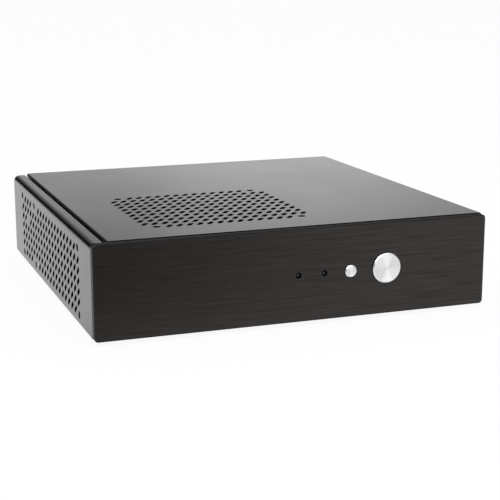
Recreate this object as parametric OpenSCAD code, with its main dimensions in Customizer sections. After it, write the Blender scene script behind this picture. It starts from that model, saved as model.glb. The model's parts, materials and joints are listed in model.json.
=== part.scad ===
// Thin computer case for a 170 x 170 mm board: a folded steel tray with one
// vented wall, an L-shaped cover that hooks under the tray's top strip, and a
// thick front panel with two push buttons and two indicator lights.
// X runs from left to right, Y from front to back, Z up. The origin is the
// middle of the footprint, on the plane that the feet stand on.

/* [Case] */
// Width over the left and right walls
case_w = 222; // [212:1:260]
// Depth from the face of the front panel to the back of the rear wall
case_d = 222; // [219:1:260]
// Height without the feet
case_h = 51; // [51:0.5:70]
// Thickness of the folded sheet steel
sheet_t = 0.8; // [0.7:0.05:1]
// Inside radius of the tight folds
bend_r = 0.5; // [0.3:0.1:0.8]
// Outside radius of the large fold at the top of the left wall
shoulder_r = 3.5; // [2:0.5:6]
// Width of the tray's strip along the left edge of the top
strip_w = 7.6; // [7:0.1:12]
// Inside radius of the tight fold along the strip's inner edge
lip_r = 0.1; // [0.1:0.05:0.5]
// Width of the open groove between the strip and the cover
groove_w = 0.8; // [0.6:0.1:3]
// Height of the cover's face above the strip
cover_step = 1; // [0.5:0.1:2]
// Depth of the groove below the cover's face
groove_depth = 4; // [3.6:0.1:6]
// Clearance between sheets that slide past each other
seat_gap = 0.15; // [0.1:0.05:0.3]
// Gap between the front panel and the cover
seam_gap = 0.4; // [0.2:0.1:1]
// Width of the ledges that carry the cover at the front and the back
ledge_w = 8; // [5:0.5:12]
// Height of the tray's low flange on the right
side_flange_h = 4; // [3:0.5:12]
// Reach of the cover's hook under the strip
hook_reach = 3; // [1:0.5:3.5]

/* [Front panel] */
// Thickness of the front panel
panel_t = 4.5; // [4:0.25:6]
// Step from the cover's face down to the top of the front panel
panel_drop = 0.4; // [0.2:0.1:0.8]
// Corner radius of the front panel
panel_corner_r = 2; // [1:0.5:5]
// Bevel round the face of the front panel
panel_bevel = 0.4; // [0.2:0.1:1]
// Distance of the panel screws from the panel's sides
panel_screw_x = 13; // [12:1:20]
// Distance of the panel screws from the panel's top and bottom
panel_screw_z = 10; // [8:1:16]
// Length of thread in the panel
panel_screw_grip = 2.8; // [2:0.1:3]

/* [Buttons and lights] */
// Place of the power button, right of the middle
power_x = 50.8; // [46:0.5:70]
// Place of the reset button, right of the middle
reset_x = 29.6; // [24:0.5:33]
// Place of the second light, right of the middle
drive_led_x = 14.4; // [10:0.5:18]
// Place of the first light, right of the middle
power_led_x = -0.5; // [-6:0.5:3]
// Diameter of the power button
power_d = 16.6; // [12:0.2:20]
// Diameter of the reset button
reset_d = 6.7; // [6:0.1:9]
// Height of the buttons above the panel
button_proud = 1.2; // [0.6:0.1:2]
// Bevel round the buttons
button_bevel = 0.5; // [0.2:0.1:0.8]
// Clearance round the buttons
button_gap = 0.25; // [0.15:0.05:0.4]
// How far the buttons' collars reach beyond their holes
collar_lip = 1.1; // [0.8:0.1:1.5]
// Thickness of the buttons' collars
collar_t = 1; // [0.8:0.1:2]
// How far the buttons travel
travel = 1.5; // [0.5:0.1:2]
// Diameter of the bosses behind the buttons
boss_d = 5; // [4.6:0.1:6]
// Length of the bosses behind the buttons
boss_l = 2; // [1.8:0.1:4]
// Diameter of the switch plungers
plunger_d = 3; // [2:0.1:3.2]
// How deep a plunger sits in its button
plunger_seat = 1.5; // [1:0.1:1.6]
// Width and height of the switch housings
switch_w = 9; // [8:0.5:10]
// Depth of the switch housings behind their necks
switch_l = 6; // [6:0.5:9]
// Length of the switches' necks
neck_l = 1; // [0.5:0.1:2]
// Diameter of the lights' lenses
lens_d = 3; // [2.8:0.1:3.2]
// Length of the lenses in front of their rims
lens_l = 4; // [3.5:0.1:5]
// Clearance round the lenses
lens_gap = 0.15; // [0.1:0.05:0.3]

/* [Switch board] */
// Thickness of the switch board
front_board_t = 1.6; // [1:0.1:2]
// Height of the switch board
front_board_h = 22; // [18:1:26]
// Width of the board beyond the first light and the power button
board_margin = 20; // [17:0.5:24]
// Distance of the board's posts from its ends
post_inset = 4; // [3.5:0.5:5]
// Width across the flats of the hexagonal posts
post_af = 5; // [4.5:0.5:6]
// Distance from the second light to the lead connector
header_gap = 4; // [2.5:0.5:8]
// Pins along the lead connector
header_pins = 5; // [3:1:6]
// Length of the connector's pins
pin_l = 6; // [5:0.5:8]

/* [Vents] */
// Length of the vent slots
slot_l = 6.9; // [5:0.1:7.2]
// Width of the vent slots
slot_w = 2.7; // [1.5:0.1:2.8]
// Slant of the slots from the front-to-back line
slot_tilt = 35; // [20:1:40]
// Slot pitch across the sheet
pitch_across = 5.7; // [5.6:0.1:6]
// Slot pitch from front to back
pitch_along = 8.25; // [8:0.05:8.5]
// Slots across the vent in the top
top_columns = 17; // [11:1:18]
// Rows of slots in the vent in the top
top_rows = 11; // [11:1:12]
// Middle of the top vent behind the face of the panel
top_vent_y = 71; // [68:1:100]
// Middle of the top vent, left of the case's middle
top_vent_x = 28; // [20:1:36]
// Spacing of the fan's screw holes
fan_pitch = 82.5; // [71.5:0.5:84]
// Diameter of the fan's screw holes
fan_hole_d = 4.3; // [3.5:0.1:4.5]
// Thickness of the dust screens behind the vents
screen_t = 0.6; // [0.4:0.1:1]
// How far the screens reach past the outer slots' middles
screen_edge = 5; // [4:0.5:5]
// First column of the side vents behind the face of the panel
side_vent_front = 34.5; // [34:0.5:42]
// Least distance from the last column of the side vents to the rear
side_vent_rear = 30.5; // [28:0.5:40]
// Lowest row of the side vents above the case's underside
side_vent_low = 6.8; // [6.5:0.1:9]
// Least distance from the highest row of the side vents to the top
side_vent_high = 9.8; // [9.5:0.1:14]
// Distance of the round side holes above and below the outer rows
side_hole_out = 1.15; // [0:0.05:1.3]
// Columns from the middle pair of round side holes to the last column
side_hole_columns = 4.5; // [3.5:0.5:6.5]
// Distance of the last pair of round side holes behind the last column
side_hole_back = 1; // [0:0.5:2]
// Diameter of the round side holes
side_hole_d = 4.3; // [3.5:0.1:4.5]
// Column of the slot that is left out of the left wall
blank_column = 17; // [0:1:19]
// Row of the slot that is left out of the left wall
blank_row = 4; // [0:1:6]
// Slots across the small vent in the rear wall
rear_columns = 2; // [1:1:2]
// Rows of slots in the rear wall
rear_rows = 4; // [2:1:5]
// Middle of the rear vent below the middle of the case
rear_vent_drop = 4; // [0:0.5:6]

/* [Board and rear] */
// Height of the board's standoffs
standoff_h = 5.5; // [5:0.1:5.8]
// Width across the flats of the standoffs
standoff_af = 5; // [4.5:0.5:6]
// Diameter of the standoffs' spigots in the floor
spigot_d = 4; // [3.4:0.1:4.4]
// Gap from the board's rear edge to the rear wall
board_gap = 1.5; // [1:0.1:2]
// Width of the opening for the board's sockets
io_w = 158.75; // [150:0.25:162]
// Height of the opening for the board's sockets
io_h = 44.45; // [38:0.05:44.5]
// Corner radius of that opening
io_corner_r = 1; // [0.5:0.1:1.5]
// Width of the cover's tabs
tab_w = 14; // [11:1:18]
// Length of the cover's tabs
tab_l = 10; // [9:0.5:12]
// Distance of the two upper tabs from the ends of the cover's flat face
tab_inset = 2; // [0.5:0.5:4]
// Bottom of the side tab above the underside
side_tab_z = 6; // [4:1:14]

/* [Drive bracket] */
// Width of the drive bracket
bracket_w = 76; // [74:1:80]
// Length of the drive bracket
bracket_l = 104; // [100:1:112]
// Space under the cover for the drive
drive_room = 11.2; // [10:0.1:13]
// Distance of the bracket behind the face of the panel
bracket_front = 30; // [29:0.5:31]
// Distance of the bracket from the right wall
bracket_side = 7; // [5:0.5:9]
// Width of the window in the bracket
bracket_window_w = 44; // [20:1:48]
// Length of the window in the bracket
bracket_window_l = 60; // [30:1:64]
// Corner radius of that window
bracket_window_r = 4; // [1:0.5:8]
// Length of the bracket's feet on the floor
bracket_foot_l = 11; // [10:0.5:12]
// Width of the leg at the right
right_leg_w = 50; // [40:1:60]
// Width of the leg at the front
front_leg_w = 50; // [40:1:54]
// Distance of each leg's screws from its edges
leg_screw_inset = 8; // [6:0.5:12]

/* [Screws and feet] */
// Core diameter of the threads
thread_core_d = 2.5; // [2.4:0.05:2.6]
// Diameter of the clearance holes for the screws
screw_hole_d = 3.4; // [3.2:0.1:3.6]
// Diameter of the screw heads
head_d = 5.5; // [5:0.1:6]
// Height of the screw heads
head_h = 1.8; // [1.4:0.1:2]
// Width of the cross cut in the screw heads
cross_w = 0.8; // [0.5:0.1:1]
// Length of thread past the sheets that a screw holds together
screw_past = 2.4; // [1.6:0.1:3]
// Diameter of the feet
foot_d = 13; // [10:0.5:18]
// Height of the feet
foot_h = 2.5; // [2.3:0.1:4]
// Bevel round the bottom of the feet
foot_bevel = 0.6; // [0.3:0.1:1]
// Distance of the feet's middles from the edges of the case
foot_inset = 20; // [14:1:22]

/* [Hidden] */
$fn = 32;

// Standard board and drive patterns, in millimetres
mount_x = 157.48;
mount_front_y = 165.1;
mount_rear_left_y = 10.16;
mount_rear_right_y = 33.02;
board_t = 1.6;
io_below_board = 3.81;
drive_hole_x = 61.72;
drive_hole_y = 76.6;

// Small clearances
thread_gap = 0.05;
plunger_gap = 0.15;
collar_gap = 0.1;
switch_gap = 0.4;
end_gap = 0.3;
edge_gap = 1;
cut = 1;

// Folded sheet
bend_out = bend_r + sheet_t;
lip_out = lip_r + sheet_t;
relief = bend_out + edge_gap;

// Main planes
rear_proud = sheet_t + head_h;
left_x = -case_w / 2;
right_x = case_w / 2;
front_y = -(case_d + rear_proud - button_proud) / 2;
panel_back_y = front_y + panel_t;
wall_back_y = panel_back_y + sheet_t;
rear_y = front_y + case_d;
under_z = foot_h;
floor_z = under_z + sheet_t;
top_z = under_z + case_h;
strip_z = top_z - cover_step;
ledge_z = top_z - sheet_t;
middle_z = under_z + case_h / 2;
flange_x = right_x - sheet_t - seat_gap;
wall_x = right_x - bend_out;

// Cover
fold_gap = 0.1;
lip_x = left_x + strip_w + groove_w;
groove_z = min(top_z - groove_depth, strip_z - lip_out - fold_gap);
hook_z = groove_z - seat_gap;
notch_z = min(strip_z - shoulder_r, hook_z - sheet_t) - edge_gap;
ledge_x = lip_x + sheet_t + edge_gap;
cover_front_y = panel_back_y + seam_gap;
cover_rear_y = rear_y + sheet_t - bend_out;
tab_hole_z = top_z - tab_l + head_d / 2 + edge_gap;
side_tab_hole_x = right_x - tab_l + head_d / 2 + edge_gap;
tab_reach = tab_inset + tab_w / 2;
tab_x = [lip_x + bend_out + tab_reach, right_x - bend_out - tab_reach];
cover_holes = [for (x = tab_x) [x, tab_hole_z], [side_tab_hole_x, side_tab_z + under_z + tab_w / 2]];

// Buttons, from the panel's face towards the back
collar_y = panel_back_y + collar_gap;
boss_y = collar_y + collar_t;
boss_end_y = boss_y + boss_l;
neck_y = boss_end_y + travel + switch_gap;
front_board_y = neck_y + neck_l + switch_l;
plunger_grip = 1.2;
neck_d = plunger_d + 2.6;
power_collar_d = power_d + 2 * (button_gap + collar_lip);
reset_collar_d = reset_d + 2 * (button_gap + collar_lip);

// Switch board
front_board_x1 = power_led_x - board_margin;
front_board_x2 = power_x + board_margin;
front_board_back_y = front_board_y + front_board_t;
post_x = [front_board_x1 + post_inset, front_board_x2 - post_inset];
post_grip = 5;
post_spigot_d = thread_core_d + 0.7;
lens_rim_d = lens_d + 0.8;
lens_rim_t = 1;
leg_w = 0.5;
leg_pitch = 2.54;
pin_w = 0.64;
header_w = header_pins * leg_pitch;
header_x = drive_led_x + header_gap;

// Board
board_rear_y = rear_y - sheet_t - board_gap;
standoff_xy = [
    [-mount_x / 2, board_rear_y - mount_front_y],
    [mount_x / 2, board_rear_y - mount_front_y],
    [-mount_x / 2, board_rear_y - mount_rear_left_y],
    [mount_x / 2, board_rear_y - mount_rear_right_y]];
io_z = floor_z + standoff_h + board_t - io_below_board;

// Drive bracket
bracket_x2 = right_x - bracket_side;
bracket_x1 = bracket_x2 - bracket_w;
bracket_y1 = front_y + bracket_front;
bracket_y2 = bracket_y1 + bracket_l;
bracket_z = ledge_z - drive_room;
bracket_mid = [(bracket_x1 + bracket_x2) / 2, (bracket_y1 + bracket_y2) / 2];
front_leg_x = bracket_mid[0] - front_leg_w / 2;
right_leg_y = bracket_mid[1] - right_leg_w / 2;
foot_screw = bracket_foot_l - head_d / 2 - edge_gap - bend_r;
bracket_holes = [
    for (s = [leg_screw_inset, front_leg_w - leg_screw_inset]) [front_leg_x + s, bracket_y1 + foot_screw],
    for (s = [leg_screw_inset, right_leg_w - leg_screw_inset]) [bracket_x2 - foot_screw, right_leg_y + s]];

// Panel screws
panel_holes = [for (x = [left_x + panel_screw_x, right_x - panel_screw_x],
    z = [under_z + panel_screw_z, top_z - panel_screw_z]) [x, z]];

// Vents
top_vent_mid = [-top_vent_x, front_y + top_vent_y];
side_columns = floor((case_d - side_vent_front - side_vent_rear) / pitch_along) + 1;
side_rows = floor((case_h - side_vent_low - side_vent_high) / pitch_across) + 1;
side_vent_half = (side_columns - 1) / 2 * pitch_along;
side_vent_rise = (side_rows - 1) / 2 * pitch_across;
side_vent_mid = [front_y + side_vent_front + side_vent_half, under_z + side_vent_low + side_vent_rise];
fan_holes = [for (x = [-1, 1], y = [-1, 1]) top_vent_mid + fan_pitch / 2 * [x, y]];
side_hole_y = [-side_vent_half, side_vent_half - side_hole_columns * pitch_along,
    side_vent_half + side_hole_back];
side_holes = [for (y = side_hole_y, z = [-1, 1]) side_vent_mid + [y, z * (side_vent_rise + side_hole_out)]];
rear_vent_mid = [(left_x - io_w / 2) / 2, middle_z - rear_vent_drop];
slot_keepout = (slot_l + fan_hole_d) / 2;

steel_black = [0.10, 0.10, 0.10];
panel_black = [0.13, 0.13, 0.12];
spun = [0.85, 0.86, 0.86];
zinc = [0.70, 0.70, 0.68];

// Extrudes an XZ outline from one Y to another
module along_y(y1, y2) {
    translate([0, y2, 0]) rotate([90, 0, 0]) linear_extrude(y2 - y1) children();
}

// Extrudes a YZ outline from one X to another
module along_x(x1, x2) {
    translate([x1, 0, 0]) rotate([90, 0, 90]) linear_extrude(x2 - x1) children();
}

// Turns a shape built along Z so that it runs towards the back
module to_back(x, y, z) {
    translate([x, y, z]) rotate([-90, 0, 0]) children();
}

// Quarter turn of sheet about a centre, first quadrant turned anticlockwise
module fold(centre, turn, inner = bend_r) {
    translate(centre) rotate(turn) intersection() {
        difference() {
            circle(inner + sheet_t);
            circle(inner);
        }
        square(inner + sheet_t);
    }
}

// Rectangle between two corners
module between(a, b) {
    translate(a) square(b - a);
}

module rounded(size, r) {
    square([size[0] - 2 * r, size[1]], center = true);
    square([size[0], size[1] - 2 * r], center = true);
    for (x = [-1, 1], y = [-1, 1]) translate([x * (size[0] / 2 - r), y * (size[1] / 2 - r)]) circle(r);
}

module slot(turn) {
    rotate(turn) {
        square([slot_l - slot_w, slot_w], center = true);
        for (s = [-1, 1]) translate([s * (slot_l - slot_w) / 2, 0]) circle(slot_w / 2, $fn = 16);
    }
}

function spread(count, pitch) = [for (i = [0 : count - 1]) (i - (count - 1) / 2) * pitch];
function clear(p, holes) = min([for (h = holes) norm(p - h)]) > slot_keepout;

// Field of slots round a middle, left out wherever they would meet a round hole
module slot_field(middle, xs, ys, turn, holes, blank = undef) {
    for (i = [0 : len(xs) - 1], j = [0 : len(ys) - 1])
        if (clear(middle + [xs[i], ys[j]], holes) && [i, j] != blank)
            translate(middle + [xs[i], ys[j]]) slot(turn);
}

module round_holes(holes, d) {
    for (p = holes) translate(p) circle(d / 2);
}

module top_vent() {
    slot_field(top_vent_mid, spread(top_columns, pitch_across), spread(top_rows, pitch_along),
        90 - slot_tilt, fan_holes);
    round_holes(fan_holes, fan_hole_d);
}

module side_vent(blank) {
    slot_field(side_vent_mid, spread(side_columns, pitch_along), spread(side_rows, pitch_across),
        -slot_tilt, side_holes, blank);
    round_holes(side_holes, side_hole_d);
}

// Tray: floor, vented left wall with its strip, low right flange, front and rear walls
module floor_outline() {
    between([left_x, under_z + bend_out], [left_x + sheet_t, under_z + bend_out + cut]);
    fold([left_x + bend_out, under_z + bend_out], 180);
    between([left_x + bend_out, under_z], [flange_x - bend_out, floor_z]);
    fold([flange_x - bend_out, under_z + bend_out], 270);
    between([flange_x - sheet_t, under_z + bend_out], [flange_x, under_z + side_flange_h]);
}

module left_wall_outline() {
    between([left_x, under_z + bend_out], [left_x + sheet_t, strip_z - shoulder_r]);
    fold([left_x + shoulder_r, strip_z - shoulder_r], 90, shoulder_r - sheet_t);
    between([left_x + shoulder_r, strip_z - sheet_t], [left_x + strip_w - lip_out, strip_z]);
    fold([left_x + strip_w - lip_out, strip_z - lip_out], 0, lip_r);
    between([left_x + strip_w - sheet_t, groove_z], [left_x + strip_w, strip_z - lip_out]);
}

module end_wall_outline() {
    between([bend_out, under_z], [relief + cut, floor_z]);
    fold([bend_out, under_z + bend_out], 180);
    between([0, under_z + bend_out], [sheet_t, ledge_z - bend_out]);
    fold([bend_out, ledge_z - bend_out], 90);
    between([bend_out, ledge_z - sheet_t], [ledge_w, ledge_z]);
}

module end_wall() {
    difference() {
        along_x(left_x + sheet_t / 2, wall_x) end_wall_outline();
        translate([left_x, -cut, notch_z]) cube([ledge_x - left_x, ledge_w + 2 * cut, case_h]);
        for (x = [left_x, flange_x - relief])
            translate([x, -cut, under_z - cut]) cube([relief, relief + 3 * cut, relief + cut]);
    }
}

module chassis() {
    color(steel_black) difference() {
        union() {
            along_y(panel_back_y + relief, rear_y - relief) floor_outline();
            along_y(panel_back_y, rear_y) left_wall_outline();
            translate([0, panel_back_y, 0]) end_wall();
            translate([0, rear_y, 0]) mirror([0, 1, 0]) end_wall();
        }
        along_x(left_x - cut, left_x + sheet_t + cut) side_vent([blank_column, blank_row]);
        along_y(panel_back_y - cut, wall_back_y + cut) {
            translate([power_x, middle_z]) circle(power_collar_d / 2 + button_gap);
            translate([reset_x, middle_z]) circle(reset_collar_d / 2 + button_gap);
            for (x = [power_led_x, drive_led_x]) translate([x, middle_z]) circle(lens_rim_d / 2 + lens_gap);
            for (x = post_x) translate([x, middle_z]) circle(post_spigot_d / 2 + thread_gap);
            round_holes(panel_holes, screw_hole_d);
        }
        along_y(rear_y - sheet_t - cut, rear_y + cut) {
            translate([0, io_z + io_h / 2]) rounded([io_w, io_h], io_corner_r);
            round_holes(cover_holes, thread_core_d);
            slot_field(rear_vent_mid, spread(rear_columns, pitch_along), spread(rear_rows, pitch_across),
                -slot_tilt, cover_holes);
        }
        translate([0, 0, under_z - cut]) linear_extrude(sheet_t + 2 * cut) {
            round_holes(standoff_xy, spigot_d + 2 * thread_gap);
            round_holes(bracket_holes, screw_hole_d);
        }
    }
}

// Cover: top plate, hooked left edge, right wall and three tabs over the rear wall
module cover_outline() {
    between([left_x + strip_w - hook_reach, hook_z - sheet_t], [lip_x - bend_r, hook_z]);
    fold([lip_x - bend_r, hook_z + bend_r], 270);
    between([lip_x, hook_z + bend_r], [lip_x + sheet_t, top_z - bend_out]);
    fold([lip_x + bend_out, top_z - bend_out], 90);
    between([lip_x + bend_out, ledge_z], [right_x - bend_out, top_z]);
    fold([right_x - bend_out, top_z - bend_out], 0);
    between([right_x - sheet_t, under_z], [right_x, top_z - bend_out]);
}

module upper_tab_outline() {
    between([cover_rear_y - cut, ledge_z], [cover_rear_y, top_z]);
    fold([cover_rear_y, top_z - bend_out], 0);
    between([rear_y, top_z - tab_l], [rear_y + sheet_t, top_z - bend_out]);
}

module side_tab_outline() {
    between([right_x - sheet_t, cover_rear_y - cut], [right_x, cover_rear_y]);
    fold([right_x - bend_out, cover_rear_y], 0);
    between([right_x - tab_l, rear_y], [right_x - bend_out, rear_y + sheet_t]);
}

module top_cover() {
    color(steel_black) difference() {
        union() {
            along_y(cover_front_y, cover_rear_y) cover_outline();
            for (x = tab_x) along_x(x - tab_w / 2, x + tab_w / 2) upper_tab_outline();
            translate([0, 0, under_z + side_tab_z]) linear_extrude(tab_w) side_tab_outline();
        }
        translate([0, 0, ledge_z - cut]) linear_extrude(sheet_t + 2 * cut) top_vent();
        along_x(right_x - sheet_t - cut, right_x + cut) side_vent();
        along_y(rear_y - cut, rear_y + sheet_t + cut) round_holes(cover_holes, screw_hole_d);
    }
}

// Dust screen: thin sheet behind a vent, with the vent's round holes
module screen_outline(middle, half_w, half_h, holes, d) {
    difference() {
        translate(middle) square(2 * [half_w + screen_edge, half_h + screen_edge], center = true);
        round_holes(holes, d);
    }
}

module vent_screen() {
    color(panel_black) translate([0, 0, ledge_z - screen_t]) linear_extrude(screen_t)
        screen_outline(top_vent_mid, (top_columns - 1) / 2 * pitch_across,
            (top_rows - 1) / 2 * pitch_along, fan_holes, fan_hole_d);
}

module side_screen() {
    color(panel_black) along_x(left_x + sheet_t, left_x + sheet_t + screen_t)
        screen_outline(side_vent_mid, side_vent_half, side_vent_rise, side_holes, side_hole_d);
}

// Front panel: bevelled plate with the button, light and screw holes
module front_panel() {
    panel_h = case_h - panel_drop;
    color(panel_black) difference() {
        translate([0, 0, under_z + panel_h / 2]) hull() {
            along_y(front_y + panel_bevel, panel_back_y) rounded([case_w, panel_h], panel_corner_r);
            along_y(front_y, front_y + panel_bevel)
                rounded([case_w - 2 * panel_bevel, panel_h - 2 * panel_bevel],
                    panel_corner_r - panel_bevel / 2);
        }
        to_back(power_x, front_y - cut, middle_z)
            cylinder(h = panel_t + 2 * cut, d = power_d + 2 * button_gap);
        to_back(reset_x, front_y - cut, middle_z)
            cylinder(h = panel_t + 2 * cut, d = reset_d + 2 * button_gap);
        for (x = [power_led_x, drive_led_x])
            to_back(x, front_y - cut, middle_z) cylinder(h = panel_t + 2 * cut, d = lens_d + 2 * lens_gap);
        for (p = panel_holes)
            to_back(p[0], panel_back_y - panel_screw_grip - end_gap, p[1])
                cylinder(h = panel_screw_grip + end_gap + cut, d = thread_core_d);
    }
}

// Turned button: bevelled face, collar behind the panel and a bored boss
module button(x, d, collar_d) {
    face_y = front_y - button_proud;
    collar = collar_y - face_y;
    boss = boss_y - face_y;
    end = boss_end_y - face_y;
    color(spun) to_back(x, face_y, middle_z) rotate_extrude() polygon([
        [0, 0],
        [d / 2 - button_bevel, 0],
        [d / 2, button_bevel],
        [d / 2, collar],
        [collar_d / 2, collar],
        [collar_d / 2, boss],
        [boss_d / 2, boss],
        [boss_d / 2, end],
        [plunger_d / 2 + thread_gap, end],
        [plunger_d / 2 + thread_gap, end - plunger_seat],
        [0, end - plunger_seat]]);
}

module power_button() {
    button(power_x, power_d, power_collar_d);
}

module reset_button() {
    button(reset_x, reset_d, reset_collar_d);
}

// Plunger: seated in the button's boss, its other end in the switch's neck
module plunger(x) {
    start = boss_end_y - plunger_seat;
    color("white") to_back(x, start, middle_z) cylinder(h = neck_y + plunger_grip - start, d = plunger_d);
}

module power_plunger() {
    plunger(power_x);
}

module reset_plunger() {
    plunger(reset_x);
}

// Switch: square housing on the board with a round neck that guides the plunger
module push_switch(x) {
    bore = plunger_grip + travel + end_gap;
    color("dimgray") difference() {
        union() {
            translate([x - switch_w / 2, neck_y + neck_l, middle_z - switch_w / 2])
                cube([switch_w, switch_l, switch_w]);
            to_back(x, neck_y, middle_z) cylinder(h = neck_l + cut, d = neck_d);
        }
        to_back(x, neck_y - cut, middle_z) cylinder(h = bore + cut, d = plunger_d + 2 * plunger_gap);
    }
}

module power_switch() {
    push_switch(power_x);
}

module reset_switch() {
    push_switch(reset_x);
}

// Light: domed lens with a rim, and two legs through the board
module light(x, tint) {
    rim_y = collar_y;
    leg_y = rim_y + lens_rim_t / 2;
    straight = lens_l - lens_d / 2;
    color(tint) {
        to_back(x, rim_y + lens_rim_t, middle_z) rotate([180, 0, 0]) rotate_extrude() {
            square([lens_rim_d / 2, lens_rim_t]);
            square([lens_d / 2, lens_rim_t + straight]);
            translate([0, lens_rim_t + straight]) intersection() {
                circle(lens_d / 2);
                square(lens_d);
            }
        }
        for (s = [-1, 1])
            translate([x + s * leg_pitch / 2 - leg_w / 2, leg_y, middle_z - leg_w / 2])
                cube([leg_w, front_board_back_y + leg_w - leg_y, leg_w]);
    }
}

module power_led() {
    light(power_led_x, [0.30, 0.42, 0.50]);
}

module drive_led() {
    light(drive_led_x, [0.50, 0.30, 0.25]);
}

// Switch board: carries the switches, the lights and the lead connector
module front_board() {
    color("darkgreen") along_y(front_board_y, front_board_back_y) difference() {
        between([front_board_x1, middle_z - front_board_h / 2],
            [front_board_x2, middle_z + front_board_h / 2]);
        for (x = post_x) translate([x, middle_z]) circle(screw_hole_d / 2);
        for (x = [power_led_x, drive_led_x], s = [-1, 1])
            translate([x + s * leg_pitch / 2, middle_z]) circle(leg_w);
    }
}

// Lead connector: strip with two rows of square pins
module lead_header() {
    color("black") translate([header_x, front_board_back_y, middle_z - leg_pitch]) {
        cube([header_w, leg_pitch, 2 * leg_pitch]);
        for (i = [0 : header_pins - 1], j = [0, 1])
            translate([(i + 0.5) * leg_pitch - pin_w / 2, 0, (j + 0.5) * leg_pitch - pin_w / 2])
                cube([pin_w, leg_pitch + pin_l, pin_w]);
    }
}

// Posts: hexagonal, pressed into the front wall, threaded for the board's screws
module front_board_posts() {
    color(zinc) for (x = post_x) difference() {
        union() {
            to_back(x, wall_back_y, middle_z)
                cylinder(h = front_board_y - wall_back_y, d = post_af / cos(30), $fn = 6);
            to_back(x, panel_back_y, middle_z) cylinder(h = sheet_t + cut, d = post_spigot_d);
        }
        to_back(x, front_board_y - post_grip - cut, middle_z)
            cylinder(h = post_grip + 2 * cut, d = thread_core_d);
    }
}

// Pan-head screw, its head's underside at the origin and its shank along +Z
module screw(shank) {
    cross_l = 0.6 * head_d;
    cross_z = -0.4 * head_h;
    shank_d = thread_core_d - 2 * thread_gap;
    difference() {
        union() {
            translate([0, 0, -head_h]) cylinder(h = head_h, d1 = head_d - edge_gap, d2 = head_d);
            translate([0, 0, cross_z / 2]) cylinder(h = shank - cross_z / 2, d = shank_d);
        }
        for (a = [0, 90]) rotate(a)
            translate([-cross_l / 2, -cross_w / 2, -head_h - cut])
                cube([cross_l, cross_w, cross_z + head_h + cut]);
    }
}

module front_board_screws() {
    color(zinc) for (x = post_x)
        translate([x, front_board_back_y, middle_z]) rotate([90, 0, 0]) screw(front_board_t + post_grip);
}

module panel_screws() {
    color(zinc) for (p = panel_holes)
        translate([p[0], wall_back_y, p[1]]) rotate([90, 0, 0]) screw(sheet_t + panel_screw_grip);
}

module cover_screws() {
    color([0.12, 0.12, 0.12]) for (p = cover_holes)
        translate([p[0], rear_y + sheet_t, p[1]]) rotate([90, 0, 0]) screw(2 * sheet_t + screw_past);
}

module bracket_screws() {
    color(zinc) for (p = bracket_holes) translate([p[0], p[1], under_z]) screw(2 * sheet_t + screw_past);
}

// Standoffs: hexagonal, pressed into the floor, with a threaded bore for the board's screws
module board_standoffs() {
    color("goldenrod") for (p = standoff_xy) translate([p[0], p[1], 0]) difference() {
        union() {
            translate([0, 0, floor_z]) cylinder(h = standoff_h, d = standoff_af / cos(30), $fn = 6);
            translate([0, 0, under_z]) cylinder(h = sheet_t + cut, d = spigot_d);
        }
        translate([0, 0, under_z - cut]) cylinder(h = standoff_h + sheet_t + 2 * cut, d = thread_core_d);
    }
}

// Bracket: windowed plate over the board, with one leg at the right and one at the front
module right_leg_outline() {
    between([bracket_x2 - bend_out - cut, bracket_z - sheet_t], [bracket_x2 - bend_out, bracket_z]);
    fold([bracket_x2 - bend_out, bracket_z - bend_out], 0);
    between([bracket_x2 - sheet_t, floor_z + bend_out], [bracket_x2, bracket_z - bend_out]);
    fold([bracket_x2 - bend_out, floor_z + bend_out], 270);
    between([bracket_x2 - bracket_foot_l, floor_z], [bracket_x2 - bend_out, floor_z + sheet_t]);
}

module front_leg_outline() {
    between([bracket_y1 + bend_out, bracket_z - sheet_t], [bracket_y1 + bend_out + cut, bracket_z]);
    fold([bracket_y1 + bend_out, bracket_z - bend_out], 90);
    between([bracket_y1, floor_z + bend_out], [bracket_y1 + sheet_t, bracket_z - bend_out]);
    fold([bracket_y1 + bend_out, floor_z + bend_out], 180);
    between([bracket_y1 + bend_out, floor_z], [bracket_y1 + bracket_foot_l, floor_z + sheet_t]);
}

module drive_bracket() {
    color(zinc) difference() {
        union() {
            translate([0, 0, bracket_z - sheet_t]) linear_extrude(sheet_t)
                between([bracket_x1, bracket_y1 + bend_out], [bracket_x2 - bend_out, bracket_y2]);
            along_y(right_leg_y, right_leg_y + right_leg_w) right_leg_outline();
            along_x(front_leg_x, front_leg_x + front_leg_w) front_leg_outline();
        }
        translate([0, 0, bracket_z - sheet_t - cut]) linear_extrude(sheet_t + 2 * cut)
            translate(bracket_mid) {
                rounded([bracket_window_w, bracket_window_l], bracket_window_r);
                for (x = [-1, 1], y = [-1, 1])
                    translate([x * drive_hole_x / 2, y * drive_hole_y / 2]) circle(screw_hole_d / 2);
            }
        translate([0, 0, floor_z - cut]) linear_extrude(sheet_t + 2 * cut)
            round_holes(bracket_holes, thread_core_d);
    }
}

// Foot: soft disc that narrows to the ground
module foot(side, end_y) {
    color([0.08, 0.08, 0.08]) translate([side * (case_w / 2 - foot_inset), end_y, 0])
        rotate_extrude() polygon([
            [0, 0],
            [foot_d / 2 - 2 * foot_bevel, 0],
            [foot_d / 2 - foot_bevel, foot_bevel],
            [foot_d / 2, foot_h],
            [0, foot_h]]);
}

module foot_front_left() {
    foot(-1, front_y + foot_inset);
}

module foot_front_right() {
    foot(1, front_y + foot_inset);
}

module foot_rear_left() {
    foot(-1, rear_y - foot_inset);
}

module foot_rear_right() {
    foot(1, rear_y - foot_inset);
}

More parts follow.
